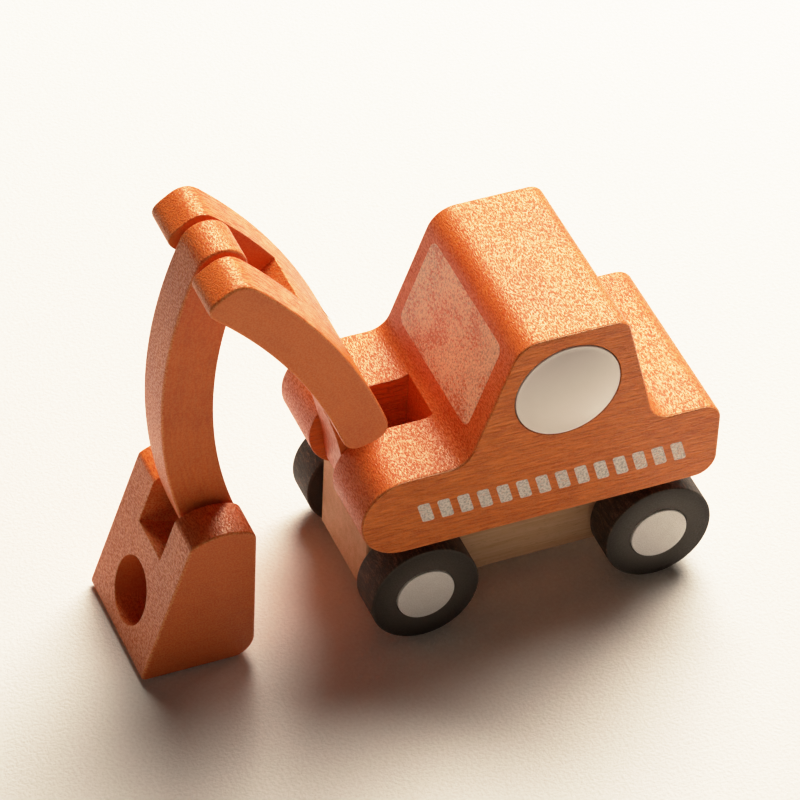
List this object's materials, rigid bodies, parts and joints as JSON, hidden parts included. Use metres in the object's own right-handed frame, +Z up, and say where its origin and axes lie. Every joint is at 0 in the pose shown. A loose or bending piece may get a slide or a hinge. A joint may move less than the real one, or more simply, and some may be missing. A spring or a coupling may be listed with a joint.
{
  "type": "toy excavator",
  "caption": "Wooden toy excavator: a painted cab body swivels on a wheeled natural-wood chassis and carries a jointed arm of boom, stick and bucket.",
  "frame": {"origin": "under the middle of the toy's box, on the surface that the wheels stand on", "axes": "+X forward to the bucket, +Y to the toy's left side, +Z up"},
  "size_m": [0.182, 0.0726, 0.1502],
  "materials": {
    "orange_paint": "wood under a satin orange paint, its grain showing through",
    "bare_wood": "sanded bare beech",
    "black_stain": "wood with a matt black stain",
    "hub_white": "speckled off-white paint, matt",
    "porthole_white": "smooth white paint, satin"
  },
  "bodies": {
    "chassis": {"chassis_block": "bare_wood", "swivel_washer": "bare_wood"},
    "front_wheelset": {"front_axle": "bare_wood", "front_wheel_left": "black_stain", "front_wheel_right": "black_stain", "front_hub_cap_left": "hub_white", "front_hub_cap_right": "hub_white"},
    "rear_wheelset": {"rear_axle": "bare_wood", "rear_wheel_left": "black_stain", "rear_wheel_right": "black_stain", "rear_hub_cap_left": "hub_white", "rear_hub_cap_right": "hub_white"},
    "upper": {"cab_body": "orange_paint", "porthole_left": "porthole_white", "porthole_right": "porthole_white", "swivel_peg": "bare_wood", "boom_pin": "bare_wood"},
    "boom": {"boom": "orange_paint", "stick_pin": "bare_wood"},
    "stick": {"stick": "orange_paint"},
    "bucket": {"bucket": "orange_paint", "bucket_pin": "bare_wood"}
  },
  "joints": [
    {"name": "front_wheels_roll", "type": "hinge", "parent": "chassis", "child": "front_wheelset", "pos_m": [0.00376, 0, 0.0175], "axis": [0, 1, 0], "continuous": true},
    {"name": "rear_wheels_roll", "type": "hinge", "parent": "chassis", "child": "rear_wheelset", "pos_m": [-0.07354, 0, 0.0175], "axis": [0, 1, 0], "continuous": true},
    {"name": "cab_swivel", "type": "hinge", "parent": "chassis", "child": "upper", "pos_m": [-0.03489, 0, 0.0377], "axis": [0, 0, 1], "continuous": true},
    {"name": "boom_lift", "type": "hinge", "parent": "upper", "child": "boom", "pos_m": [0.01331, 0, 0.0456], "axis": [0, 1, 0], "range_deg": [-35, 50]},
    {"name": "stick_swing", "type": "hinge", "parent": "boom", "child": "stick", "pos_m": [0.06142, 0, 0.14204], "axis": [0, 1, 0], "range_deg": [-150, 12]},
    {"name": "bucket_tip", "type": "hinge", "parent": "stick", "child": "bucket", "pos_m": [0.06272, 0, 0.04274], "axis": [0, -1, 0], "range_deg": [-80, 65]}
  ]
}
